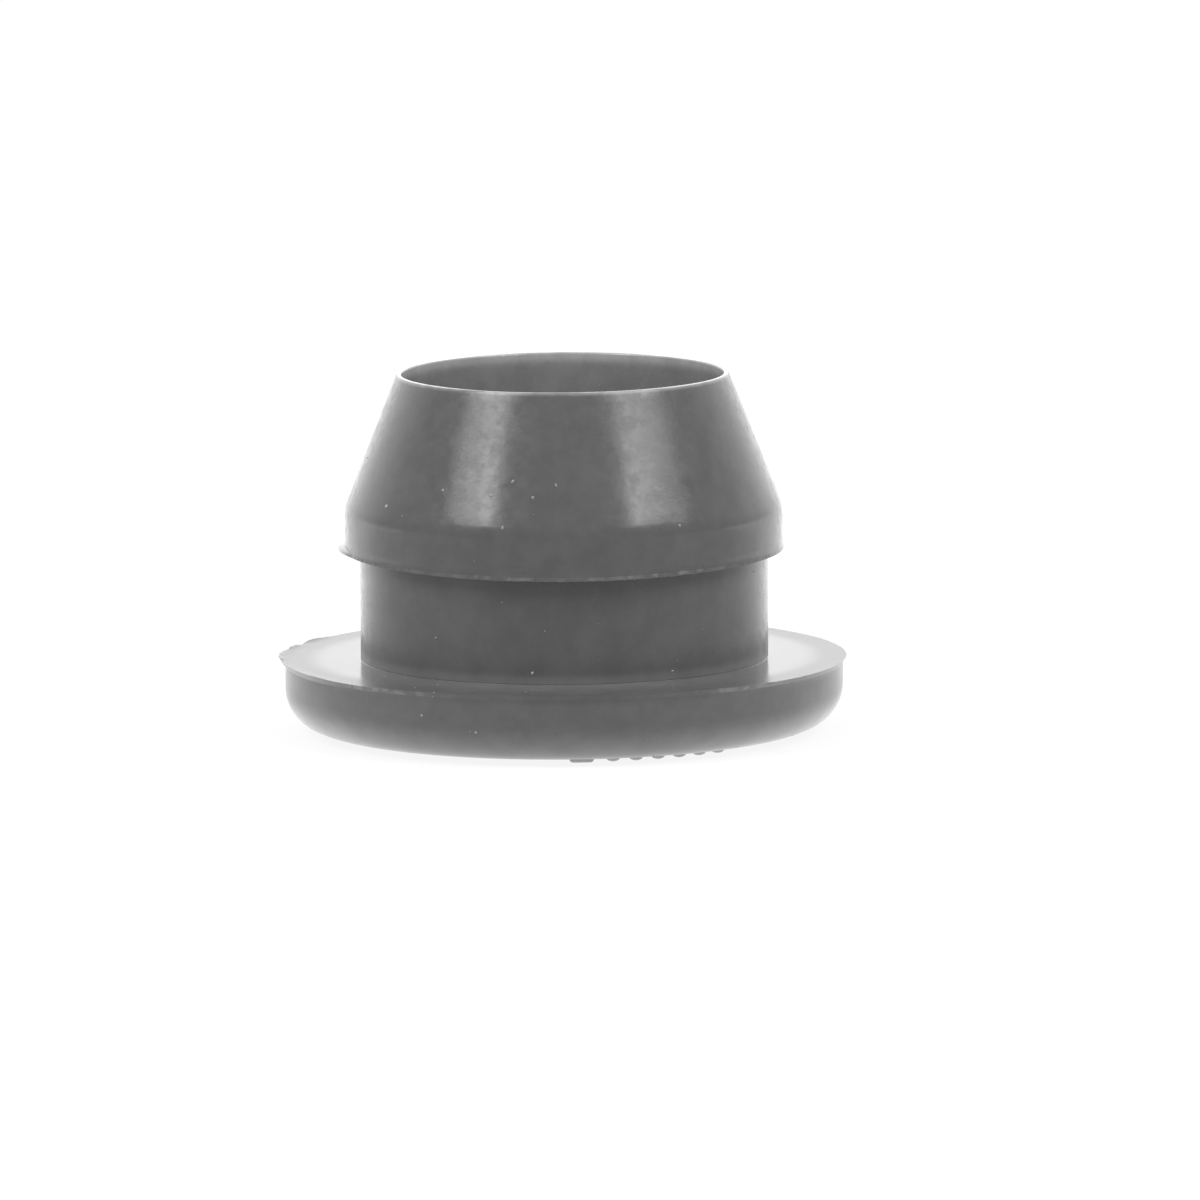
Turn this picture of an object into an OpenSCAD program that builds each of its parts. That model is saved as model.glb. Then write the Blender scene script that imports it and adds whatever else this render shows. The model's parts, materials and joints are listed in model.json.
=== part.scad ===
// Push-in rubber grommet for a panel hole, moulded in one piece: a wide flange with a rounded
// lower edge, a straight neck that sits in the hole, a barb that snaps through it, and a nose
// that tapers to a thin lip round the bore. It stands on its flange, with the bore along +Z.
// Everything is in millimetres.

/* [Flange] */
// Diameter of the flange's straight side
flange_d = 26; // [24:0.5:40]
// Thickness of the flange
flange_h = 3.2; // [2.6:0.1:6]
// Radius of the rounded lower edge
flange_edge_r = 1.9; // [0.4:0.1:2]
// How far the mould flash stands out from the flange's upper edge
flange_flash_w = 0.15; // [0.05:0.05:0.3]
// Height over which that flash thins out down the side
flange_flash_h = 0.3; // [0.2:0.1:0.6]

/* [Neck] */
// Diameter of the neck, which is the size of the panel hole
neck_d = 19; // [17.5:0.1:21]
// Height of the neck, from the flange to the barb, which is the room for the panel
neck_h = 4.9; // [1:0.1:10]
// Radius of the fillet where the neck meets the flange
root_r = 0.2; // [0.1:0.1:0.8]

/* [Barb] */
// How far the barb stands out from the neck, all round
barb_step = 0.7; // [0.5:0.05:1.5]
// Height of the barb's straight side
barb_h = 1.8; // [1.2:0.1:4]
// Radius of the shoulder where the barb turns into the nose
shoulder_r = 2; // [0.5:0.1:2.5]
// How far the mould flash stands out from the barb's lower edge
barb_flash_w = 0.1; // [0.05:0.05:0.2]
// Height over which that flash thins out up the barb's side
barb_flash_h = 0.3; // [0.3:0.1:1]

/* [Nose] */
// Height of the nose, from the barb's straight side to the top of the lip
nose_h = 6.65; // [4:0.05:12]
// Wall at the lip, which is rounded all the way over
lip_wall = 0.25; // [0.2:0.05:0.8]

/* [Bore] */
// Diameter of the bore, which is the size of the tube or cable that it grips
bore_d = 15; // [8:0.1:15.5]
// Radius of the rounded edge at the bore's lower mouth
bore_edge_r = 0.3; // [0.1:0.05:0.6]

/* [Hidden] */
$fn = 144;

flange_r = flange_d / 2;
neck_r = neck_d / 2;
barb_r = neck_r + barb_step;
bore_r = bore_d / 2;
lip_r = lip_wall / 2;

neck_top = flange_h + neck_h;
barb_top = neck_top + barb_h;
total_h = barb_top + nose_h;

// Centres of the two roundings that the nose's straight side touches, as [radius, height]
lip_centre = [bore_r + lip_r, total_h - lip_r];
shoulder_centre = [barb_r - shoulder_r, barb_top];

// Angle of the nose's side from upright, for a line that touches both roundings
apart = lip_centre - shoulder_centre;
nose_angle = acos((lip_r - shoulder_r) / norm(apart)) - atan2(apart.y, -apart.x);
nose_normal = [cos(nose_angle), sin(nose_angle)];

// How far a cutter reaches past the solid
spare = 1;

// How far the ends of the nose's side are tucked under its roundings, so that no sliver is left
tuck = 0.0002;

// Half section of the whole piece in [radius, height], before its corners are rounded
module plain_section() {
  polygon([
    [0, 0],
    [flange_r, 0],
    [flange_r, flange_h - flange_flash_h],
    [flange_r + flange_flash_w, flange_h],
    [neck_r, flange_h],
    [neck_r, neck_top],
    [barb_r + barb_flash_w, neck_top],
    [barb_r, neck_top + barb_flash_h],
    [barb_r, barb_top],
    shoulder_centre + (shoulder_r - tuck) * nose_normal,
    lip_centre + (lip_r - tuck) * nose_normal,
    lip_centre,
    [0, lip_centre.y]
  ]);
}

// What a rounded lower corner loses: the corner is at the origin and the solid is above it,
// to the left if side is 1 and to the right if side is -1
module corner_waste(r, side) {
  mirror([side < 0 ? 1 : 0, 0]) difference() {
    translate([-r, -spare]) square([r + spare, r + spare]);
    translate([-r, r]) circle(r = r);
  }
}

// What a fillet adds in an inner corner at the origin, with solid to the left and below
module fillet_fill(r) {
  difference() {
    square(r);
    translate([r, r]) circle(r = r);
  }
}

// A quarter disc, from the right round to the top of its centre
module quarter_disc(r) {
  intersection() {
    circle(r = r);
    square(r);
  }
}

// Half section with its roundings, its fillet and the bore
module section() {
  difference() {
    union() {
      plain_section();
      translate(shoulder_centre) quarter_disc(shoulder_r);
      translate(lip_centre) circle(r = lip_r);
      translate([neck_r, flange_h]) fillet_fill(root_r);
    }
    translate([flange_r, 0]) corner_waste(flange_edge_r, 1);
    translate([bore_r, 0]) corner_waste(bore_edge_r, -1);
    translate([0, -spare]) square([bore_r, total_h + 2 * spare]);
  }
}

// The whole moulding
module grommet() {
  color("dimgray") rotate_extrude() section();
}

grommet();
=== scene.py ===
"""Looks of a push-in rubber grommet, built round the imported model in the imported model's frame.

The moulding is turned from its half section by Geometry Nodes, with ragged mould flash at its two
edges. The raised marks under it, the dust on it and the studio round it have classes of their own.
Lengths are in millimetres, unless a name ends in _m, _deg or _px. A Span is two ends of a range.
"""

import json
import logging
import math
from dataclasses import dataclass
from enum import Enum
from functools import reduce
from typing import Any

import bmesh
import bpy
from bpy.types import Material, Mesh, Node, NodeTree, Object
from bpy.types import NodeSocket as Socket
from mathutils import Matrix, Vector

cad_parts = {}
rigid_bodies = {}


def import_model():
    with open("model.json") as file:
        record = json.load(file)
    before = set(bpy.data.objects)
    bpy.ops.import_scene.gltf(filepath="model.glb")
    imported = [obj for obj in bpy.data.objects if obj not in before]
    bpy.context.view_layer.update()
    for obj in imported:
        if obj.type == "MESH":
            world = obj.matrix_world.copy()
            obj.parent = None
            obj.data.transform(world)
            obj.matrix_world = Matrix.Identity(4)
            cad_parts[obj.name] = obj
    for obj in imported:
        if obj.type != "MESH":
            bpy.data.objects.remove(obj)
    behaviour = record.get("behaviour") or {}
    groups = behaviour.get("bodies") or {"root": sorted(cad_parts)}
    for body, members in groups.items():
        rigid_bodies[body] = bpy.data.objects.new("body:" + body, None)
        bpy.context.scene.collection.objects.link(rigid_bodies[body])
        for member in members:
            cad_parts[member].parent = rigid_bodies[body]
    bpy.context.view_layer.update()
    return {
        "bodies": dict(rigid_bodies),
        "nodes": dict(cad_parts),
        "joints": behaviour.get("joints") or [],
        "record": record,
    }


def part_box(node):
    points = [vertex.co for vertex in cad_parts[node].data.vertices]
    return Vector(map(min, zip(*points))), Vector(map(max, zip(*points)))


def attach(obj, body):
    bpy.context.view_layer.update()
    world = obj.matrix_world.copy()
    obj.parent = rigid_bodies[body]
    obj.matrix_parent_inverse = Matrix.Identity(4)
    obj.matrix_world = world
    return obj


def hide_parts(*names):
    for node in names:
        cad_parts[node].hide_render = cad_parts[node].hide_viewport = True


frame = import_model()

LOG = logging.getLogger("grommet")

MM = 0.001
BODY = "root"
NODE = "grommet"
FLASH_ATTRIBUTE = "flash"
FLECK_ATTRIBUTE = "fleck"
ACROSS_AXIS = (1.0, 1.0, 0.0)
WHITE = (1.0, 1.0, 1.0, 1.0)
NOISE_PER_TURN = 2 / math.tau

Point = tuple[float, float]
Span = tuple[float, float]
Patch = tuple[Socket, Material]


class Axis(Enum):
    """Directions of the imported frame, by their place in a position."""

    RIGHT = 0
    BACK = 1
    UP = 2


class Mottle(Enum):
    """Kinds of noise, by how many finer layers they have and how strong those are."""

    SLOW = (1.0, 0.5)
    PLAIN = (2.0, 0.5)
    WAVY = (3.0, 0.5)
    RAGGED = (3.0, 0.6)
    CLOUDY = (4.0, 0.6)
    PATCHY = (5.0, 0.65)


class NodeWriter:
    """Writes nodes into one tree, so that a pattern reads as a formula."""

    def __init__(self, tree: NodeTree) -> None:
        """Starts writing into a tree.

        Args:
            tree: the shader or geometry tree that gets the nodes.
        """
        self.tree = tree

    def feed(self, node: Node, feeds: dict[Any, Any]) -> None:
        """Links or sets a node's inputs.

        Args:
            node: the node.
            feeds: inputs by name or number, each with a socket to link or a value to set.
        """
        for key, value in feeds.items():
            if isinstance(value, Socket):
                self.tree.links.new(value, node.inputs[key])
            else:
                node.inputs[key].default_value = value

    def node(self, kind: str, feeds: dict[Any, Any] | None = None, **options: Any) -> Node:
        """Adds a node.

        Args:
            kind: Blender's name for the node's type.
            feeds: what its inputs get, as in feed().
            options: the node's own settings.

        Returns:
            The new node.
        """
        made = self.tree.nodes.new(kind)
        for name, value in options.items():
            setattr(made, name, value)
        self.feed(made, feeds or {})
        return made

    def math(self, operation: str, first: Any, second: Any = 0.0) -> Socket:
        """Does one operation on one or two numbers or sockets."""
        return self.node("ShaderNodeMath", {0: first, 1: second}, operation=operation).outputs[0]

    def times(self, first: Any, *others: Any) -> Socket:
        """Multiplies numbers and sockets, from the first on."""
        return reduce(lambda done, other: self.math("MULTIPLY", done, other), others, first)

    def plus(self, first: Any, *others: Any) -> Socket:
        """Adds numbers and sockets up, from the first on."""
        return reduce(lambda done, other: self.math("ADD", done, other), others, first)

    def vector(self, operation: str, first: Any, second: Any = (0.0, 0.0, 0.0)) -> Socket:
        """Does one operation on one or two vectors or sockets, and gives a vector."""
        feeds = {0: first, 1: second}
        return self.node("ShaderNodeVectorMath", feeds, operation=operation).outputs["Vector"]

    def scaled(self, vector: Any, factor: Any) -> Socket:
        """Gives a vector times a number or socket."""
        made = self.node("ShaderNodeVectorMath", {0: vector, "Scale": factor}, operation="SCALE")
        return made.outputs["Vector"]

    def dot(self, vector: Any, axis: tuple[float, float, float]) -> Socket:
        """Gives how far a vector reaches along an axis of length 1."""
        feeds = {0: vector, 1: axis}
        return self.node("ShaderNodeVectorMath", feeds, operation="DOT_PRODUCT").outputs["Value"]

    def along(self, vector: Any, axis: Axis) -> Socket:
        """Gives a vector's part along one axis of the frame."""
        return self.node("ShaderNodeSeparateXYZ", {0: vector}).outputs[axis.value]

    def flat(self, place: Any) -> Socket:
        """Gives a position's part across the bore's axis."""
        return self.vector("MULTIPLY", place, ACROSS_AXIS)

    def off_axis(self, place: Any) -> Socket:
        """Gives a position's distance from the bore's axis."""
        feeds = {0: self.flat(place)}
        return self.node("ShaderNodeVectorMath", feeds, operation="LENGTH").outputs["Value"]

    def ramp(self, value: Any, low: Any, high: Any, start: Any = 0.0, end: Any = 1.0) -> Socket:
        """Takes a value smoothly from one range to another, held at both ends.

        Args:
            value: what is mapped.
            low: the value that gives start.
            high: the value that gives end.
            start: the result at low.
            end: the result at high.

        Returns:
            The mapped value.
        """
        feeds = {"Value": value, "From Min": low, "From Max": high, "To Min": start, "To Max": end}
        made = self.node("ShaderNodeMapRange", feeds, interpolation_type="SMOOTHSTEP")
        return made.outputs["Result"]

    def fade(self, length: Any, span: Span, start: Any = 0.0, end: Any = 1.0) -> Socket:
        """Does what ramp does to a length in metres, over a span in millimetres."""
        return self.ramp(length, span[0] * MM, span[1] * MM, start, end)

    def mix(self, share: Any, off: Any, on: Any) -> Socket:
        """Goes smoothly from off to on as a share goes from 0 to 1."""
        return self.ramp(share, 0.0, 1.0, off, on)

    def noise(self, place: Any, scale: Any, mottle: Mottle = Mottle.PLAIN) -> Socket:
        """Gives noise from 0 to 1, mostly near 0.5, with scale bumps in a unit of length."""
        feeds = {"Vector": place, "Scale": scale, **dict(zip(("Detail", "Roughness"), mottle.value))}
        return self.node("ShaderNodeTexNoise", feeds).outputs["Fac"]

    def swing(self, place: Any, scale: Any, mottle: Mottle) -> Socket:
        """Adds a noise pattern that swings about 0, and takes what noise does."""
        return self.math("SUBTRACT", self.noise(place, scale, mottle), 0.5)

    def grey(self, level: Socket) -> Socket:
        """Gives the grey of a level from 0 to 1."""
        return self.node("ShaderNodeCombineColor", {0: level, 1: level, 2: level}).outputs[0]

    def seen(self) -> Socket:
        """Gives 1 on camera and transmission rays, and 0 on all others."""
        rays = self.node("ShaderNodeLightPath").outputs
        return self.math("MAXIMUM", rays["Is Camera Ray"], rays["Is Transmission Ray"])


def add_object(name: str, data: Any) -> Object:
    """Makes an object and links it to the scene.

    Args:
        name: its name.
        data: its mesh, lamp or lens.

    Returns:
        The new object.
    """
    made = bpy.data.objects.new(name, data)
    bpy.context.scene.collection.objects.link(made)
    return made


def start_material(name: str) -> tuple[Material, Node]:
    """Starts a material with nodes.

    Args:
        name: its name.

    Returns:
        The material and its shader.
    """
    made = bpy.data.materials.new(name)
    made.use_nodes = True
    return made, made.node_tree.nodes["Principled BSDF"]


class GeometryTree(NodeWriter):
    """A Geometry Nodes tree with named inputs, run once on an object to make a plain mesh."""

    def __init__(self, name: str) -> None:
        """Starts an empty tree.

        Args:
            name: what the tree makes.
        """
        super().__init__(bpy.data.node_groups.new(name, "GeometryNodeTree"))
        for way in ("INPUT", "OUTPUT"):
            self.tree.interface.new_socket("Geometry", in_out=way, socket_type="NodeSocketGeometry")
        self.entry = self.tree.nodes.new("NodeGroupInput")
        self.settings: dict[str, Any] = {}

    @property
    def geometry(self) -> Socket:
        """The geometry of the object that the tree runs on."""
        return self.entry.outputs["Geometry"]

    def setting(self, name: str, kind: str, value: Any) -> Socket:
        """Adds a named input.

        Args:
            name: the input's name.
            kind: Float, Int, Material or Object.
            value: what the input is set to when the tree runs.

        Returns:
            The input's socket inside the tree.
        """
        made = self.tree.interface.new_socket(name, in_out="INPUT", socket_type=f"NodeSocket{kind}")
        self.settings[made.identifier] = value
        return self.entry.outputs[name]

    def grow(self, kind: str, feeds: dict[Any, Any] | None = None, **options: Any) -> Socket:
        """Adds a Geometry Nodes node, by its name without that prefix, and gives its first output."""
        return self.node("GeometryNode" + kind, feeds, **options).outputs[0]

    def smooth(self, geometry: Socket, crisp_deg: float = 180.0) -> Socket:
        """Shades a mesh smooth, apart from its crisp edges.

        Args:
            geometry: the mesh.
            crisp_deg: how far its faces turn at an edge that stays crisp.

        Returns:
            The shaded mesh.
        """
        feeds = {"Geometry": geometry, "Shade Smooth": True}
        smooth = self.grow("SetShadeSmooth", feeds, domain="FACE")
        angle = self.node("GeometryNodeInputMeshEdgeAngle").outputs["Unsigned Angle"]
        crisp = self.math("GREATER_THAN", angle, math.radians(crisp_deg))
        feeds = {"Geometry": smooth, "Selection": crisp, "Shade Smooth": False}
        return self.grow("SetShadeSmooth", feeds, domain="EDGE")

    def end(self, geometry: Socket, finish: Material, patch: Patch | None = None) -> None:
        """Ends the tree in real geometry that wears its finish.

        Args:
            geometry: what the tree has made.
            finish: the material that it wears.
            patch: the faces that wear another finish, and that finish, if there are any.
        """
        real = self.grow("RealizeInstances", {0: geometry})
        paling = self.setting("Finish", "Material", finish)
        dressed = self.grow("SetMaterial", {"Geometry": real, "Material": paling})
        if patch:
            other = self.setting("Patch finish", "Material", patch[1])
            feeds = {"Geometry": dressed, "Selection": patch[0], "Material": other}
            dressed = self.grow("SetMaterial", feeds)
        self.node("NodeGroupOutput", {"Geometry": dressed})

    def run(self, name: str, start: Mesh) -> Object:
        """Runs the tree on a mesh and keeps the result as a plain mesh object.

        Args:
            name: the new piece's name.
            start: the mesh that the tree starts from.

        Returns:
            The new piece, with no modifier.
        """
        carrier = add_object(name + "_start", start)
        modifier = carrier.modifiers.new("nodes", "NODES")
        modifier.node_group = self.tree
        for identifier, value in self.settings.items():
            modifier[identifier] = value
        graph = bpy.context.evaluated_depsgraph_get()
        mesh = bpy.data.meshes.new_from_object(carrier.evaluated_get(graph), depsgraph=graph)
        mesh.name = name
        bpy.data.objects.remove(carrier)
        return add_object(name, mesh)


class Spot(NodeWriter):
    """A shaded point of the moulding, which writes a material's nodes from where it lies.

    Sideways goes from 0 at the front and back to 1 at either side, rise is how far it faces up, and
    level, flash, on_barb and on_neck are shares from 0 to 1.
    """

    FLASH_SPAN: Span = (0.0, 0.4)
    LEVEL_SPAN: Span = (0.6, 0.95)
    BARB_FROM_Z = 6.0
    NECK_FROM_Z = 3.25

    def __init__(self, tree: NodeTree) -> None:
        """Reads the point.

        Args:
            tree: the material's tree.
        """
        super().__init__(tree)
        self.place = self.node("ShaderNodeTexCoord").outputs["Object"]
        self.radius = self.off_axis(self.place)
        self.height = self.along(self.place, Axis.UP)
        across = self.math("ABSOLUTE", self.along(self.place, Axis.RIGHT))
        self.sideways = self.math("DIVIDE", across, self.radius)
        self.rise = self.along(self.node("ShaderNodeNewGeometry").outputs["Normal"], Axis.UP)
        self.level = self.ramp(self.rise, *self.LEVEL_SPAN)
        flash = self.node("ShaderNodeAttribute", attribute_name=FLASH_ATTRIBUTE).outputs["Fac"]
        self.flash = self.ramp(flash, *self.FLASH_SPAN)
        self.on_barb = self.math("GREATER_THAN", self.height, self.BARB_FROM_Z * MM)
        self.on_neck = self.math("GREATER_THAN", self.height, self.NECK_FROM_Z * MM)


@dataclass(frozen=True)
class RubberFinish:
    """Semi-gloss moulded rubber: mid grey, faintly clouded, with a fine grain and paler flash.

    Each _paler is what the grey is multiplied by there, and each _duller is added roughness. Each
    _span is where that fades, and each _noise is the part of a noise that its two levels cover.
    Most paler parts are painted light: a paler bore, a painted glow along the lower edge and on the
    marks beneath, painted light on the neck's root and on faces that look up, and a painted
    highlight along the lip.
    """

    name: str = "rubber"
    shade: float = 0.080
    bloom: float = 0.36
    bloom_roughness: float = 0.1
    specular_ior: float = 1.52

    cloud: float = 0.09
    cloud_per_mm: float = 0.8
    cloud_noise: Span = (0.3, 0.7)
    # Painted light: the paler levels of the bore, the lower edge, the neck's root, the marks beneath
    # and the faces that look up stand in for light that falls there.
    bore_light_paler: float = 2.1
    bore_span: Span = (7.6, 7.66)
    under_glow_paler: float = 2.9
    under_glow_span: Span = (0.1, 1.9)
    under_glow_per_mm: float = 1.6
    under_glow_sway: float = 0.8
    root_light_paler: float = 1.5
    root_span: Span = (3.25, 3.9)
    marks_light_paler: float = 1.9
    marks_span: Span = (-0.05, 0.0)
    top_light_paler: float = 2.2
    top_light_span: Span = (7.66, 13.0)

    # Painted highlight: the lip's levels below paint a highlight along the lip, uneven in patches, and
    # painted light on the top of the bore's wall.
    lip_highlight_high: float = 2.6
    lip_highlight_low: float = 1.8
    lip_noise: Span = (0.35, 0.55)
    lip_per_mm: float = 0.4
    lip_inside_light: float = 1.9
    lip_top: float = 16.52
    lip_fade_in: float = 1.0
    lip_fade_out: float = 0.26
    lip_power: float = 2.0

    flash_clean: float = 1.1
    flash_paler: float = 1.8
    flash_pale_span: Span = (0.3, 0.65)
    flash_end_span: Span = (0.72, 0.85)
    flash_noise: Span = (0.4, 0.6)
    flash_per_mm: float = 1.4
    barb_dark: float = 0.75
    barb_paler: float = 1.0

    gloss: Span = (0.14, 0.25)
    gloss_noise: Span = (0.35, 0.65)
    gloss_per_mm: float = 1.9
    rim_duller: float = 0.05
    nose_span: Span = (11.4, 15.9)
    barb_duller: float = 0.35
    fin_span: Span = (0.75, 0.9)
    neck_duller: float = 0.16
    neck_span: Span = (3.6, 5.4)
    top_roughness: float = 0.18
    top_duller: float = 0.08
    top_dull_span: Span = (11.0, 12.3)

    wave_per_mm: float = 1.1
    wave_depth: float = 0.005
    grain_per_mm: float = 7.0
    grain_depth: float = 0.0016
    level_share: float = 0.05

    def material(self) -> Material:
        """Builds the material.

        Returns:
            The rubber, from Object coordinates and the flash attribute.
        """
        made, shader = start_material(self.name)
        at = Spot(made.node_tree)
        feeds = {
            "Base Color": at.grey(self._level(at)),
            "Roughness": self._roughness(at),
            "IOR": self.specular_ior,
            "Sheen Weight": self.bloom,
            "Sheen Roughness": self.bloom_roughness,
            "Normal": self._relief(at),
        }
        at.feed(shader, feeds)
        return made

    def _level(self, at: Spot) -> Socket:
        """Works out how pale the rubber is, with painted light on the bore, the lower edge, the neck's
        root, the marks beneath, the faces that look up and the lip.

        Args:
            at: the shaded point.

        Returns:
            The level of its grey.
        """
        low, high = self.shade * (1 - self.cloud), self.shade * (1 + self.cloud)
        clouds = at.noise(at.place, self.cloud_per_mm / MM, Mottle.CLOUDY)
        level = at.ramp(clouds, *self.cloud_noise, low, high)
        # Painted light: the bore's wall is painted paler than its rubber, standing in for more light on
        # it.
        bore_light = at.fade(at.radius, self.bore_span, self.bore_light_paler, 1.0)
        # Painted glow: the flange's lower edge is painted paler, up to a ragged line, standing in for
        # light from the floor below.
        ragged = at.swing(at.place, self.under_glow_per_mm / MM, Mottle.CLOUDY)
        edge = at.plus(at.height, at.times(ragged, self.under_glow_sway * MM))
        under_glow = at.fade(edge, self.under_glow_span, self.under_glow_paler, 1.0)
        # Painted light: the neck is painted paler just above the flange, standing in for light near its
        # root.
        root = at.times(at.fade(at.height, self.root_span, 1.0, 0.0), at.on_neck)
        root = at.mix(root, 1.0, self.root_light_paler)
        # Painted light: the marks below the underside are painted paler, where they face down into
        # shade.
        marks = at.fade(at.height, self.marks_span, self.marks_light_paler, 1.0)
        # Painted light: faces that look up are painted paler, most near the bore and fading out at the
        # flange's edge.
        top = at.mix(at.level, 1.0, at.fade(at.radius, self.top_light_span, self.top_light_paler, 1.0))
        return at.times(level, bore_light, under_glow, root, marks, self._lip(at), self._flash(at), top)

    def _lip(self, at: Spot) -> Socket:
        """Works out the painted highlight along the lip, paler in uneven patches: over a narrow band
        outside and a wide one inside, where it is painted light on the top of the bore's wall.

        Args:
            at: the shaded point.

        Returns:
            What its grey is multiplied by.
        """
        inside, outside = self.lip_top - self.lip_fade_in, self.lip_top - self.lip_fade_out
        start = at.fade(at.radius, self.bore_span, inside * MM, outside * MM)
        near = at.math("POWER", at.ramp(at.height, start, self.lip_top * MM), self.lip_power)
        paling = at.noise(at.place, self.lip_per_mm / MM, Mottle.RAGGED)
        paling = at.ramp(paling, *self.lip_noise, self.lip_highlight_low, self.lip_highlight_high)
        return at.mix(near, 1.0, at.fade(at.radius, self.bore_span, self.lip_inside_light, paling))

    def _flash(self, at: Spot) -> Socket:
        """Works out how the mould flash's grey changes, in patches: paler at the flange's flash, most
        between the front and the sides, and between darker and plain at the barb's.

        Args:
            at: the shaded point.

        Returns:
            What its grey is multiplied by.
        """
        paling = at.ramp(at.sideways, *self.flash_pale_span)
        paling = at.times(paling, at.ramp(at.sideways, *self.flash_end_span, 1.0, 0.0))
        patchy = at.noise(at.place, self.flash_per_mm / MM, Mottle.RAGGED)
        patchy = at.ramp(patchy, *self.flash_noise)
        at_flange = at.mix(patchy, 1.0, at.mix(paling, self.flash_clean, self.flash_paler))
        at_barb = at.mix(patchy, self.barb_dark, self.barb_paler)
        return at.mix(at.flash, 1.0, at.mix(at.on_barb, at_flange, at_barb))

    def _roughness(self, at: Spot) -> Socket:
        """Works out how dull the rubber is.

        Args:
            at: the shaded point.

        Returns:
            Its roughness.
        """
        patches = at.noise(at.place, self.gloss_per_mm / MM, Mottle.PATCHY)
        wall = at.ramp(patches, *self.gloss_noise, *self.gloss)
        nose = at.fade(at.height, self.nose_span, 0.0, self.rim_duller)
        dry = at.times(at.flash, at.on_barb, at.ramp(at.sideways, *self.fin_span, 1.0, 0.0))
        dry = at.mix(dry, 0.0, self.barb_duller)
        neck = at.times(at.fade(at.height, self.neck_span, self.neck_duller, 0.0), at.on_neck)
        top = at.fade(at.radius, self.top_dull_span, 0.0, self.top_duller)
        return at.mix(at.level, at.plus(wall, nose, dry, neck), at.plus(top, self.top_roughness))

    def _relief(self, at: Spot) -> Socket:
        """Adds the shallow waves and the fine grain of the mould's wall.

        Args:
            at: the shaded point.

        Returns:
            The bumped normal.
        """
        share = at.ramp(at.math("ABSOLUTE", at.rise), *at.LEVEL_SPAN, 1.0, self.level_share)
        waves = at.noise(at.place, self.wave_per_mm / MM, Mottle.WAVY)
        feeds = {"Strength": share, "Height": waves, "Distance": self.wave_depth * MM}
        broad = at.node("ShaderNodeBump", feeds).outputs["Normal"]
        grain = at.noise(at.place, self.grain_per_mm / MM, Mottle.RAGGED)
        feeds = {"Strength": share, "Height": grain, "Distance": self.grain_depth * MM, "Normal": broad}
        return at.node("ShaderNodeBump", feeds).outputs["Normal"]


RUBBER = RubberFinish()
# The flange's side and underside wear a paler copy of the rubber: its grey of 0.09 against 0.08 is
# painted light there, while its wider sheen is the shader's own.
FLANK_RUBBER = RubberFinish("rubber_flank", shade=0.09, bloom=0.46, bloom_roughness=0.44)


@dataclass(frozen=True)
class DustFinish:
    """Dry pale dust, a little uneven in its grey."""

    shade: float = 0.28
    spread: float = 0.25
    per_mm: float = 3.0
    uneven_noise: Span = (0.3, 0.7)
    roughness: float = 0.9

    def material(self) -> Material:
        """Builds the material.

        Returns:
            The dust.
        """
        made, shader = start_material("dust")
        writer = NodeWriter(made.node_tree)
        place = writer.node("ShaderNodeTexCoord").outputs["Object"]
        low, high = self.shade * (1 - self.spread), self.shade * (1 + self.spread)
        level = writer.ramp(writer.noise(place, self.per_mm / MM), *self.uneven_noise, low, high)
        writer.feed(shader, {"Base Color": writer.grey(level), "Roughness": self.roughness})
        return made


def run_of(start: Point, end: Point, steps: int) -> list[Point]:
    """Gives equally spaced points along a straight stretch, without its end."""
    across, rise = end[0] - start[0], end[1] - start[1]
    return [(start[0] + across * i / steps, start[1] + rise * i / steps) for i in range(steps)]


def arc_of(centre: Point, radius: float, start_deg: float, end_deg: float, steps: int) -> list[Point]:
    """Gives equally spaced points along an arc, without its end. Angles turn up from outward."""
    angles = [math.radians(start_deg + (end_deg - start_deg) * i / steps) for i in range(steps)]
    return [(centre[0] + radius * math.cos(a), centre[1] + radius * math.sin(a)) for a in angles]


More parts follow.
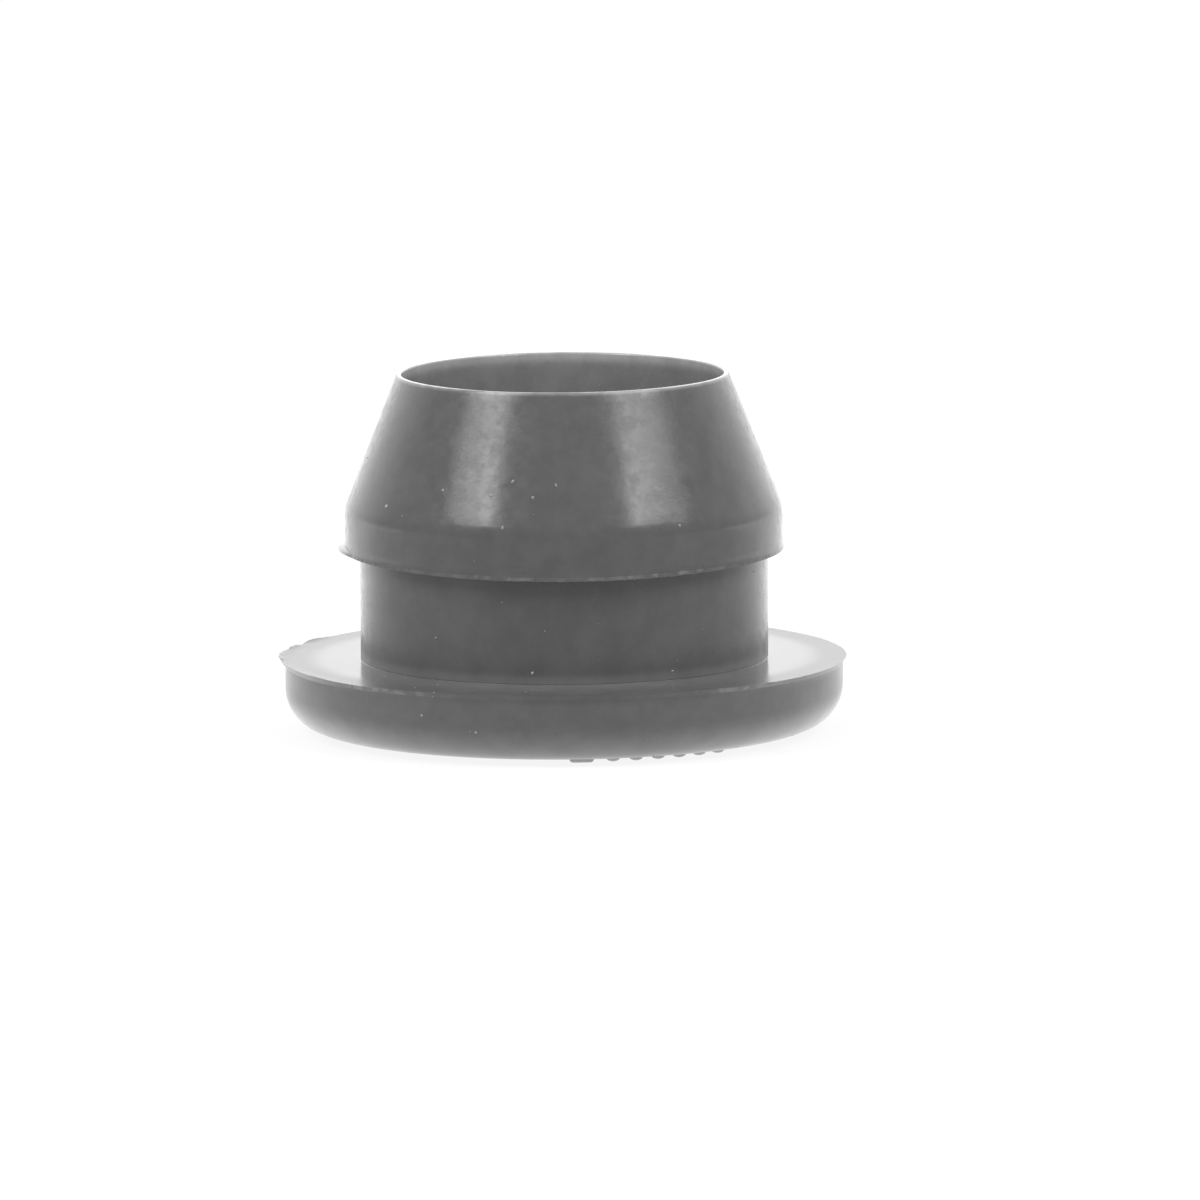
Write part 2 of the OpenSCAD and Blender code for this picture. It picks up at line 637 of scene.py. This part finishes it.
@dataclass(frozen=True)
class Section:
    """Half section of the moulding, in radius and height."""

    bore_r: float
    flange_h: float
    total_h: float
    reach_r: float
    flange_edge_r: float = 1.9
    flange_flash_w: float = 0.15
    flange_flash_h: float = 0.25
    neck_r: float = 9.5
    neck_h: float = 4.9
    root_r: float = 0.012
    barb_step: float = 0.7
    barb_h: float = 1.8
    shoulder_r: float = 2.0
    barb_flash_w: float = 0.05
    barb_flash_h: float = 0.2
    lip_wall: float = 0.25
    bore_edge_r: float = 0.3

    @classmethod
    def from_frame(cls, packed: dict[str, Any]) -> "Section":
        """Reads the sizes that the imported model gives.


        Returns:
            The section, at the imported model's height, reach, bore and flange thickness.
        """
        mounts = {mount["name"]: mount for mount in packed["record"]["mounts"]}
        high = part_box(NODE)[1]
        return cls(
            bore_r=mounts["bore"]["dims"]["r_mm"],
            flange_h=mounts["panel_seat"]["pos_m"][2] / MM,
            total_h=high.z / MM,
            reach_r=high.x / MM,
        )

    @property
    def flange_r(self) -> float:
        """Radius of the flange's straight side."""
        return self.reach_r - self.flange_flash_w

    @property
    def neck_top(self) -> float:
        """Height of the barb's underside."""
        return self.flange_h + self.neck_h

    @property
    def barb_r(self) -> float:
        """Radius of the barb's straight side."""
        return self.neck_r + self.barb_step

    @property
    def barb_top(self) -> float:
        """Height where the shoulder starts."""
        return self.neck_top + self.barb_h

    @property
    def lip_r(self) -> float:
        """Radius of the lip's rounding."""
        return self.lip_wall / 2

    @property
    def lip_centre(self) -> Point:
        """Centre of the lip's rounding."""
        return (self.bore_r + self.lip_r, self.total_h - self.lip_r)

    @property
    def shoulder_centre(self) -> Point:
        """Centre of the shoulder's rounding."""
        return (self.barb_r - self.shoulder_r, self.barb_top)

    @property
    def nose_deg(self) -> float:
        """Angle from upright of the nose's side, which touches the lip's and shoulder's rounding."""
        inward = self.shoulder_centre[0] - self.lip_centre[0]
        rise = self.lip_centre[1] - self.shoulder_centre[1]
        turn = math.acos((self.lip_r - self.shoulder_r) / math.hypot(inward, rise))
        return math.degrees(turn - math.atan2(rise, inward))

    def touch(self, centre: Point, radius: float) -> Point:
        """Gives the point where the nose's side touches a rounding."""
        angle = math.radians(self.nose_deg)
        return (centre[0] + radius * math.cos(angle), centre[1] + radius * math.sin(angle))

    def outside_r(self, height: float) -> float:
        """Gives the radius of the outside at a height, without the flash.

        Args:
            height: a height above the underside.

        Returns:
            The radius there.
        """
        if height < self.flange_edge_r:
            drop = self.flange_edge_r - height
            return self.flange_r - self.flange_edge_r + math.sqrt(self.flange_edge_r**2 - drop**2)
        if height < self.flange_h:
            return self.flange_r
        if height < self.neck_top:
            return self.neck_r
        if height < self.barb_top:
            return self.barb_r
        low = self.touch(self.shoulder_centre, self.shoulder_r)
        high = self.touch(self.lip_centre, self.lip_r)
        if height < low[1]:
            rise = height - self.barb_top
            return self.shoulder_centre[0] + math.sqrt(self.shoulder_r**2 - rise**2)
        return low[0] + (high[0] - low[0]) * (height - low[1]) / (high[1] - low[1])

    def outline(self) -> list[Point]:
        """Draws the closed outline: up the bore, over the lip, down the outside and back below.

        Returns:
            The outline's points in order. Each stretch below ends with its count of steps.
        """
        lip, shoulder = self.lip_centre, self.shoulder_centre
        nose_start, nose_end = self.touch(lip, self.lip_r), self.touch(shoulder, self.shoulder_r)
        barb_flash_top = (self.barb_r, self.neck_top + self.barb_flash_h)
        barb_tip = (self.barb_r + self.barb_flash_w, self.neck_top)
        root = (self.neck_r + self.root_r, self.flange_h + self.root_r)
        rim = (self.flange_r, self.flange_h)
        rim_tip = (self.reach_r, self.flange_h)
        rim_flash_end = (self.flange_r, self.flange_h - self.flange_flash_h)
        edge = (self.flange_r - self.flange_edge_r, self.flange_edge_r)
        mouth = (self.bore_r + self.bore_edge_r, self.bore_edge_r)
        return [
            *run_of((self.bore_r, mouth[1]), (self.bore_r, lip[1]), 7),
            *arc_of(lip, self.lip_r, 180, self.nose_deg, 10),
            *run_of(nose_start, nose_end, 15),
            *arc_of(shoulder, self.shoulder_r, self.nose_deg, 0, 6),
            *run_of((self.barb_r, self.barb_top), barb_flash_top, 4),
            *run_of(barb_flash_top, barb_tip, 4),
            *run_of(barb_tip, (self.neck_r, self.neck_top), 4),
            *run_of((self.neck_r, self.neck_top), (self.neck_r, root[1]), 8),
            *arc_of(root, self.root_r, 180, 270, 6),
            *run_of((root[0], self.flange_h), rim, 8),
            *run_of(rim, rim_tip, 3),
            *run_of(rim_tip, rim_flash_end, 4),
            *run_of(rim_flash_end, (self.flange_r, edge[1]), 4),
            *arc_of(edge, self.flange_edge_r, 0, -90, 14),
            *run_of((edge[0], 0.0), (mouth[0], 0.0), 5),
            *arc_of(mouth, self.bore_edge_r, 270, 180, 5),
        ]


@dataclass(frozen=True)
class Moulding:
    """The grommet itself: its section swept round the bore, with ragged flash at both edges.

    Places round the axis go from -1 at the left to 1 at the right.
    """

    section: Section
    steps: int = 840
    crisp_deg: float = 32.0

    torn_reach: float = 0.05
    torn_per_turn: float = 110.0
    torn_left: Span = (-0.44, -0.36)
    torn_right: Span = (0.64, 0.72)
    ragged_reach: float = 0.13
    ragged_per_turn: float = 15.0
    ragged_side: Span = (-0.97, -0.78)
    clean_reach: float = 0.008
    swing_noise: Span = (0.32, 0.68)
    swing: Span = (-0.4, 1.0)
    lift: float = 0.8

    fin_reach: float = 0.26
    fin_half_deg: float = 17.0
    fin_lift: float = 0.07
    fin_share_flange: float = 0.3

    lip_flare: float = 0.08
    lip_flare_side: Span = (0.3, 0.75)
    lip_flare_over: float = 1.0
    side_lift: float = 0.2
    side_lift_over: float = 1.3
    lean: float = 0.05
    lean_over: float = 5.0
    sway: float = 0.012
    sway_per_mm: float = 0.18

    flank_off_neck: float = 1.0
    flank_over: float = 0.5
    flank_rise: float = 0.5

    def build(self, finish: Material, flank: Material) -> Object:
        """Makes the moulding.

        Args:
            finish: the rubber.
            flank: the rubber of the flange's side and underside.

        Returns:
            The piece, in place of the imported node.
        """
        tree = GeometryTree("turned_moulding")
        shaped = tree.smooth(self._shape(tree, self._sweep(tree)), self.crisp_deg)
        tree.end(shaped, finish, (self._on_flank(tree), flank))
        piece = tree.run("grommet_moulding", self._section_mesh())
        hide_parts(NODE)
        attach(piece, BODY)
        return piece

    def _section_mesh(self) -> Mesh:
        """Draws the section as a loop of edges, measured outward from the bore's wall and downward.

        Returns:
            The loop.
        """
        points = self.section.outline()
        corners = [((r - self.section.bore_r) * MM, -z * MM, 0.0) for r, z in points]
        loop = [(i, (i + 1) % len(points)) for i in range(len(points))]
        mesh = bpy.data.meshes.new("section")
        mesh.from_pydata(corners, loop, [])
        return mesh

    def _sweep(self, tree: GeometryTree) -> Socket:
        """Sweeps the section round the bore.

        Args:
            tree: the moulding's tree.

        Returns:
            The turned mesh.
        """
        steps = tree.setting("Steps round", "Int", self.steps)
        bore = tree.setting("Bore radius", "Float", self.section.bore_r * MM)
        profile = tree.grow("MeshToCurve", {"Mesh": tree.geometry})
        circle = tree.grow("CurvePrimitiveCircle", {"Resolution": steps, "Radius": bore})
        upright = tree.grow("SetCurveNormal", {"Curve": circle}, mode="Z_UP")
        return tree.grow("CurveToMesh", {"Curve": upright, "Profile Curve": profile})

    def _shape(self, tree: GeometryTree, turned: Socket) -> Socket:
        """Tears the flash, pulls out its fin, opens the lip and lets the walls sway a little.

        Args:
            tree: the moulding's tree.
            turned: the turned mesh.

        Returns:
            The shaped mesh, with the flash's weight, from 0 at the wall to 1 at the tip, kept as an
            attribute.
        """
        cut = self.section
        place = tree.grow("InputPosition")
        radius, height = tree.off_axis(place), tree.along(place, Axis.UP)
        outward = tree.vector("NORMALIZE", tree.flat(place))
        side = tree.along(outward, Axis.RIGHT)
        at_barb = tree.math("GREATER_THAN", height, (cut.flange_h + cut.neck_h / 2) * MM)
        wall = tree.mix(at_barb, cut.flange_r * MM, cut.barb_r * MM)
        width = tree.mix(at_barb, cut.flange_flash_w * MM, cut.barb_flash_w * MM)
        weight = tree.math("DIVIDE", tree.math("SUBTRACT", radius, wall), width)
        weight = tree.math("MINIMUM", tree.math("MAXIMUM", weight, 0.0), 1.0)
        feeds = {"Geometry": turned, "Name": FLASH_ATTRIBUTE, "Value": weight}
        kept = tree.grow("StoreNamedAttribute", feeds, data_type="FLOAT", domain="POINT")

        tear = self._tear(tree, outward, at_barb)
        fin = tree.setting("Fin reach", "Float", self.fin_reach * MM)
        fin_edge = math.cos(math.radians(self.fin_half_deg))
        bulge = tree.ramp(tree.dot(outward, (-1.0, 0.0, 0.0)), fin_edge, 1.0)
        bulge = tree.times(bulge, tree.mix(at_barb, self.fin_share_flange, 1.0))
        push = tree.times(tree.plus(tear, tree.times(bulge, fin)), weight)
        push = tree.plus(push, self._lip_flare(tree, side, radius, height))
        rise = tree.plus(tree.times(tear, self.lift), tree.times(bulge, self.fin_lift * MM))
        off = tree.math("ABSOLUTE", tree.math("SUBTRACT", height, cut.neck_top * MM))
        near_barb = tree.fade(off, (0.0, self.side_lift_over), self.side_lift * MM, 0.0)
        rise = tree.plus(tree.times(rise, weight), tree.times(near_barb, tree.times(side, side)))
        lean = tree.fade(height, (0.0, self.lean_over), -self.lean / 2 * MM, self.lean / 2 * MM)
        shift = tree.node("ShaderNodeCombineXYZ", {0: lean, 2: rise}).outputs[0]
        slow = tree.swing(place, self.sway_per_mm / MM, Mottle.SLOW)
        sway = tree.scaled(tree.grow("InputNormal"), tree.times(slow, self.sway * MM))
        offset = tree.vector("ADD", tree.vector("ADD", tree.scaled(outward, push), shift), sway)
        return tree.grow("SetPosition", {"Geometry": kept, "Offset": offset})

    def _tear(self, tree: GeometryTree, outward: Socket, at_barb: Socket) -> Socket:
        """Works out how far the flash's tip is torn in or pulled out.

        Args:
            tree: the moulding's tree.
            outward: a point's direction from the axis.
            at_barb: 1 from the neck's middle up, and 0 below.

        Returns:
            The distance, outward.
        """
        torn = tree.setting("Torn reach", "Float", self.torn_reach * MM)
        ragged = tree.setting("Ragged reach", "Float", self.ragged_reach * MM)
        clean = tree.setting("Clean reach", "Float", self.clean_reach * MM)
        side = tree.along(outward, Axis.RIGHT)
        left = tree.ramp(side, *self.torn_left)
        right = tree.ramp(side, *self.torn_right, 1.0, 0.0)
        torn = tree.mix(tree.times(left, right), clean, torn)
        ragged = tree.ramp(side, *self.ragged_side, ragged, clean)
        reach = tree.mix(at_barb, ragged, torn)
        per_turn = tree.mix(at_barb, self.ragged_per_turn, self.torn_per_turn)
        rough = tree.noise(outward, tree.times(per_turn, NOISE_PER_TURN), Mottle.RAGGED)
        return tree.times(tree.ramp(rough, *self.swing_noise, *self.swing), reach)

    def _lip_flare(self, tree: GeometryTree, side: Socket, radius: Socket, height: Socket) -> Socket:
        """Works out how far the lip's inner edge opens, at the front and back.

        Args:
            tree: the moulding's tree.
            side: a point's place round the axis.
            radius: its distance from the axis.
            height: its height.

        Returns:
            The distance, outward.
        """
        cut = self.section
        sideways = tree.math("ABSOLUTE", side)
        flare = tree.ramp(sideways, *self.lip_flare_side, self.lip_flare * MM, 0.0)
        inner = tree.fade(radius, (cut.bore_r, cut.bore_r + cut.lip_wall), flare, 0.0)
        high = tree.fade(height, (cut.total_h - self.lip_flare_over, cut.total_h - cut.lip_r))
        return tree.times(inner, high)

    def _on_flank(self, tree: GeometryTree) -> Socket:
        """Finds the faces of the flange's side and underside.

        Args:
            tree: the moulding's tree.

        Returns:
            1 on those faces and 0 on the others.
        """
        cut = self.section
        place = tree.grow("InputPosition")
        radius, height = tree.off_axis(place), tree.along(place, Axis.UP)
        rise = tree.along(tree.grow("InputNormal"), Axis.UP)
        wide = tree.math("GREATER_THAN", radius, (cut.neck_r + self.flank_off_neck) * MM)
        low = tree.math("LESS_THAN", height, (cut.flange_h + self.flank_over) * MM)
        side = tree.times(wide, low, tree.math("LESS_THAN", rise, self.flank_rise))
        past_mouth = tree.math("GREATER_THAN", radius, (cut.bore_r + cut.bore_edge_r) * MM)
        under = tree.times(tree.math("LESS_THAN", height, cut.flange_h / 2 * MM), past_mouth)
        return tree.math("MAXIMUM", side, under)


@dataclass(frozen=True)
class UndersideMarks:
    """Plain raised marks under the flange, near its edge: one short bar and a row of round pips."""

    ring_r: float = 10.75
    relief: float = 0.2
    pip_r: float = 0.34
    pip_count: int = 6
    pip_start_deg: float = 12.0
    pip_pitch_deg: float = 5.8
    pip_segments: int = 24
    pip_rings: int = 12
    bar_deg: float = 4.2
    bar_long: float = 1.15
    bar_wide: float = 0.6
    bar_round: float = 0.18
    bar_round_steps: int = 4

    def build(self, finish: Material) -> list[Object]:
        """Makes the pips and the bar.

        Args:
            finish: the rubber.

        Returns:
            The two pieces.
        """
        pieces = [self._pips(finish), self._bar(finish)]
        for piece in pieces:
            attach(piece, BODY)
        return pieces

    def _pips(self, finish: Material) -> Object:
        """Sets low domes along the ring.

        Args:
            finish: the rubber.

        Returns:
            The row of pips.
        """
        tree = GeometryTree("pips")
        count = tree.setting("Count", "Int", self.pip_count)
        ring = tree.setting("Ring radius", "Float", self.ring_r * MM)
        first = tree.setting("First angle", "Float", math.radians(self.pip_start_deg))
        pitch = tree.setting("Pitch", "Float", math.radians(self.pip_pitch_deg))
        line = tree.grow("MeshLine", {"Count": count, "Offset": (0.0, 0.0, 0.0)})
        index = tree.grow("InputIndex")
        angle = tree.plus(first, tree.times(index, pitch))
        across = tree.times(tree.math("SINE", angle), ring)
        toward = tree.times(tree.math("COSINE", angle), tree.times(ring, -1.0))
        spot = tree.node("ShaderNodeCombineXYZ", {0: across, 1: toward}).outputs[0]
        placed = tree.grow("SetPosition", {"Geometry": line, "Position": spot})
        feeds = {"Segments": self.pip_segments, "Rings": self.pip_rings, "Radius": 1.0}
        dome = tree.grow("MeshUVSphere", feeds)
        size = (self.pip_r * MM, self.pip_r * MM, self.relief * MM)
        feeds = {"Points": placed, "Instance": dome, "Scale": size}
        domes = tree.grow("InstanceOnPoints", feeds)
        tree.end(tree.smooth(domes), finish)
        return tree.run("underside_pips", bpy.data.meshes.new("pips_start"))

    def _bar(self, finish: Material) -> Object:
        """Makes the bar, half sunk in the underside.

        Args:
            finish: the rubber.

        Returns:
            The bar.
        """
        mesh = bpy.data.meshes.new("underside_bar")
        shape = bmesh.new()
        bmesh.ops.create_cube(shape, size=1.0)
        size = Matrix.Diagonal((self.bar_long * MM, self.bar_wide * MM, 2 * self.relief * MM, 1.0))
        bmesh.ops.transform(shape, matrix=size, verts=shape.verts)
        bmesh.ops.bevel(
            shape,
            geom=shape.edges[:],
            offset=self.bar_round * MM,
            segments=self.bar_round_steps,
            affect="EDGES",
            profile=0.5,
        )
        turn = Matrix.Rotation(math.radians(self.bar_deg), 4, "Z")
        place = turn @ Matrix.Translation((0.0, -self.ring_r * MM, 0.0))
        bmesh.ops.transform(shape, matrix=place, verts=shape.verts)
        for face in shape.faces:
            face.smooth = True
        shape.to_mesh(mesh)
        shape.free()
        mesh.materials.append(finish)
        return add_object("underside_bar", mesh)


@dataclass(frozen=True)
class Fleck:
    """One fleck of dust, by its place round the axis from the front, its height and its size."""

    azimuth_deg: float
    height: float
    size: float


FLECKS = tuple(
    Fleck(*row)
    for row in (
        (-35.5, 12.05, 0.19),
        (-14.3, 12.6, 0.2),
        (-1.8, 12.45, 0.19),
        (-20.2, 11.95, 0.19),
        (-8.2, 11.9, 0.17),
        (-55.5, 11.05, 0.18),
        (-16.0, 10.55, 0.2),
        (32.2, 10.45, 0.22),
        (-38.4, 5.15, 0.16),
        (-27.5, 3.08, 0.34),
        (-30.2, 2.1, 0.2),
        (-18.2, 1.45, 0.2),
        (-8.8, 3.75, 0.19),
        (31.8, 3.65, 0.19),
    )
)


@dataclass(frozen=True)
class Dust:
    """Dust on the moulding: the flecks that stand out, and a thin scatter of finer ones."""

    section: Section
    flecks: tuple[Fleck, ...] = FLECKS
    sunk: float = 0.2
    fine_per_mm2: float = 0.036
    fine_size: float = 0.058
    squash: Span = (0.55, 1.15)
    seed: int = 7

    def build(self, body: Object, finish: Material) -> Object:
        """Makes the dust.

        Args:
            body: the moulding that the fine dust lies on.
            finish: the dust's material.

        Returns:
            The dust as one piece.
        """
        tree = GeometryTree("dust")
        under = tree.setting("Body", "Object", body)
        density = tree.setting("Fine flecks per area", "Float", self.fine_per_mm2 / MM**2)
        fine_size = tree.setting("Fine size", "Float", self.fine_size * MM)
        seed = tree.setting("Seed", "Int", self.seed)
        size = tree.grow("InputNamedAttribute", {"Name": FLECK_ATTRIBUTE}, data_type="FLOAT")
        known = self._lumps(tree, tree.geometry, size, seed)
        skin = tree.node("GeometryNodeObjectInfo", {"Object": under}).outputs["Geometry"]
        feeds = {"Mesh": skin, "Density": density, "Seed": seed}
        spread = tree.node("GeometryNodeDistributePointsOnFaces", feeds).outputs["Points"]
        fine = self._lumps(tree, spread, fine_size, seed)
        both = tree.node("GeometryNodeJoinGeometry")
        tree.feed(both, {0: known})
        tree.feed(both, {0: fine})
        tree.end(both.outputs[0], finish)
        piece = tree.run("dust_flecks", self._places())
        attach(piece, BODY)
        return piece

    def _places(self) -> Mesh:
        """Sets a point for each known fleck, sunk a little in the surface, with its size.

        Returns:
            The points.
        """
        corners = []
        for fleck in self.flecks:
            radius = self.section.outside_r(fleck.height) - self.sunk * fleck.size
            angle = math.radians(fleck.azimuth_deg)
            across, toward = radius * math.sin(angle), -radius * math.cos(angle)
            corners.append((across * MM, toward * MM, fleck.height * MM))
        mesh = bpy.data.meshes.new("fleck_places")
        mesh.from_pydata(corners, [], [])
        sizes = mesh.attributes.new(FLECK_ATTRIBUTE, "FLOAT", "POINT")
        sizes.data.foreach_set("value", [fleck.size * MM for fleck in self.flecks])
        return mesh

    def _lumps(self, tree: GeometryTree, points: Socket, size: Socket, seed: Socket) -> Socket:
        """Puts an uneven lump on each point.

        Args:
            tree: the dust's tree.
            points: where the lumps go.
            size: how wide each is.
            seed: fixes their shapes.

        Returns:
            The lumps.
        """
        lump = tree.grow("MeshIcoSphere", {"Radius": 0.5, "Subdivisions": 2})
        shape = self._draw(tree, self.squash, seed)
        turn = self._draw(tree, (0.0, math.tau), seed)
        turned = tree.node("FunctionNodeEulerToRotation", {0: turn}).outputs[0]
        scale = tree.scaled(shape, size)
        feeds = {"Points": points, "Instance": lump, "Rotation": turned, "Scale": scale}
        return tree.grow("InstanceOnPoints", feeds)

    def _draw(self, tree: GeometryTree, span: Span, seed: Socket) -> Socket:
        """Draws a random vector for each lump, with every part of it in a span."""
        feeds = {0: (span[0],) * 3, 1: (span[1],) * 3, "Seed": seed}
        return tree.node("FunctionNodeRandomValue", feeds, data_type="FLOAT_VECTOR").outputs[0]


@dataclass(frozen=True)
class Softbox:
    """A soft lamp that faces the object, by its place as seen from the object."""

    name: str
    azimuth_deg: float
    elevation_deg: float
    wide_deg: float
    tall_deg: float
    radiance: float
    distance_m: float = 0.5

    def light(self, target: Vector) -> Object:
        """Hangs the lamp.

        Args:
            target: the point that it faces, in metres.

        Returns:
            The lamp.
        """
        azimuth, elevation = math.radians(self.azimuth_deg), math.radians(self.elevation_deg)
        level = math.cos(elevation)
        away = Vector((math.sin(azimuth) * level, -math.cos(azimuth) * level, math.sin(elevation)))
        lamp = bpy.data.lights.new(self.name, "AREA")
        lamp.shape = "RECTANGLE"
        lamp.size = 2 * self.distance_m * math.tan(math.radians(self.wide_deg) / 2)
        lamp.size_y = 2 * self.distance_m * math.tan(math.radians(self.tall_deg) / 2)
        lamp.energy = self.radiance * math.pi * lamp.size * lamp.size_y
        made = add_object(self.name, lamp)
        made.location = target + away * self.distance_m
        made.rotation_euler = away.to_track_quat("Z", "Y").to_euler()
        return made


SOFTBOXES = (
    Softbox("softbox_left", -57.0, 44.0, 27.0, 28.0, 7.1),
    Softbox("softbox_right", 58.0, 44.0, 31.0, 28.0, 6.3),
)


@dataclass(frozen=True)
class Studio:
    """A plain pale floor and a pale room, brighter behind the object than in front of it.

    Each glow is what the object sees of the floor. An _ahead span runs from 1 in front of the
    object, through 0 beside it, to -1 behind it.
    """

    floor_half_m: float = 6.0
    floor_drop: float = 0.21
    floor_shade: float = 0.9
    floor_glow: float = 0.87
    glow_front: float = 0.75
    glow_back: float = 1.6
    glow_span: Span = (0.0, 50.0)
    glow_side: float = 0.2
    side_front_ahead: Span = (0.6, 0.95)
    side_back_ahead: Span = (-0.4, 0.1)
    room_level: Span = (0.6, 1.8)
    room_span: Span = (0.2, 0.97)
    sky_tilt_deg: float = 30.0
    softboxes: tuple[Softbox, ...] = SOFTBOXES

    def build(self, target: Vector) -> None:
        """Makes the floor, the room's light and the lamps.

        Args:
            target: the point that the lamps face, in metres.
        """
        self._floor()
        self._room()
        for softbox in self.softboxes:
            softbox.light(target)
            LOG.info("lamp %s", softbox.name)

    def _floor(self) -> None:
        """Lays the floor just below the marks under the flange."""
        mesh = bpy.data.meshes.new("floor")
        half, height = self.floor_half_m, -self.floor_drop * MM
        square = ((-half, -half), (half, -half), (half, half), (-half, half))
        corners = [(x, y, height) for x, y in square]
        mesh.from_pydata(corners, [], [(0, 1, 2, 3)])
        mesh.materials.append(self._paper())
        add_object("floor", mesh)

    def _paper(self) -> Material:
        """Builds the floor's material, which shows white to the camera and keeps a shadow.

        Returns:
            The paper.
        """
        paper, shader = start_material("paper")
        paper.node_tree.nodes.remove(shader)
        writer = NodeWriter(paper.node_tree)
        place = writer.node("ShaderNodeTexCoord").outputs["Object"]
        depth = writer.along(place, Axis.BACK)
        table = writer.fade(depth, self.glow_span, self.glow_front, self.glow_back)
        toward = writer.vector("NORMALIZE", place)
        ahead = writer.times(writer.along(toward, Axis.BACK), -1.0)
        beside = writer.ramp(ahead, *self.side_front_ahead, 1.0, 0.0)
        beside = writer.times(beside, writer.ramp(ahead, *self.side_back_ahead))
        table = writer.plus(table, writer.times(beside, self.glow_side))

        seen = writer.seen()
        strength = writer.mix(seen, table, 1.0)
        glow = writer.node("ShaderNodeEmission", {"Color": WHITE, "Strength": strength}).outputs[0]
        shade = (self.floor_shade,) * 3 + (1.0,)
        lit = writer.node("ShaderNodeBsdfDiffuse", {"Color": shade}).outputs[0]
        share = writer.mix(seen, 1.0, self.floor_glow)
        mixed = writer.node("ShaderNodeMixShader", {0: share, 1: lit, 2: glow}).outputs[0]
        writer.feed(paper.node_tree.nodes["Material Output"], {"Surface": mixed})
        return paper

    def _room(self) -> None:
        """Lights the room from the world: dimmer on the camera's side, white to the camera."""
        world = bpy.data.worlds.new("room")
        world.use_nodes = True
        bpy.context.scene.world = world
        writer = NodeWriter(world.node_tree)
        toward = writer.node("ShaderNodeTexCoord").outputs["Generated"]
        tilt = math.radians(self.sky_tilt_deg)
        behind = writer.dot(toward, (0.0, math.cos(tilt), math.sin(tilt)))
        level = writer.ramp(behind, *self.room_span, *self.room_level)
        strength = writer.mix(writer.seen(), level, 1.0)
        writer.feed(world.node_tree.nodes["Background"], {"Color": WHITE, "Strength": strength})


@dataclass(frozen=True)
class PhotoView:
    """The camera, placed so that the object lies in the frame as it does in the photograph."""

    frame_px: float = 1200.0
    axis_px: Point = (563.4, 556.3)
    px_per_mm: float = 21.46
    aim_height: float = 7.9
    elevation_deg: float = 7.93
    roll_deg: float = 0.43
    distance: float = 711.5
    sensor: float = 36.0
    clip_start_m: float = 0.01

    def place(self) -> None:
        """Makes the camera and sets it as the scene's own."""
        elevation = math.radians(self.elevation_deg)
        away = Vector((0.0, -math.cos(elevation), math.sin(elevation)))
        level = away.to_track_quat("Z", "Y").to_matrix()
        turn = level @ Matrix.Rotation(math.radians(-self.roll_deg), 3, "Z")
        right, up = turn.col[0], turn.col[1]
        centre_px = self.frame_px / 2
        across = (centre_px - self.axis_px[0]) / self.px_per_mm
        above = (self.axis_px[1] - centre_px) / self.px_per_mm
        aim = Vector((0.0, 0.0, self.aim_height)) + right * across + up * above
        lens = bpy.data.cameras.new("camera")
        lens.sensor_width = self.sensor
        lens.lens = self.sensor * self.px_per_mm * self.distance / self.frame_px
        lens.clip_start = self.clip_start_m
        camera = add_object("camera", lens)
        camera.matrix_world = Matrix.Translation((aim + away * self.distance) * MM) @ turn.to_4x4()
        bpy.context.scene.camera = camera


def main() -> None:
    """Builds every piece in order, then the studio and the camera."""
    logging.basicConfig(level=logging.INFO, format="%(name)s: %(message)s")
    bpy.context.scene.view_settings.view_transform = "Standard"
    section = Section.from_frame(frame)
    rubber = RUBBER.material()
    moulding = Moulding(section).build(rubber, FLANK_RUBBER.material())
    marks = UndersideMarks().build(rubber)
    dust = Dust(section).build(moulding, DustFinish().material())
    for piece in (moulding, *marks, dust):
        LOG.info("%s: %d faces", piece.name, len(piece.data.polygons))
    Studio().build(Vector((0.0, 0.0, section.total_h / 2 * MM)))
    PhotoView().place()


if __name__ == "__main__":
    main()
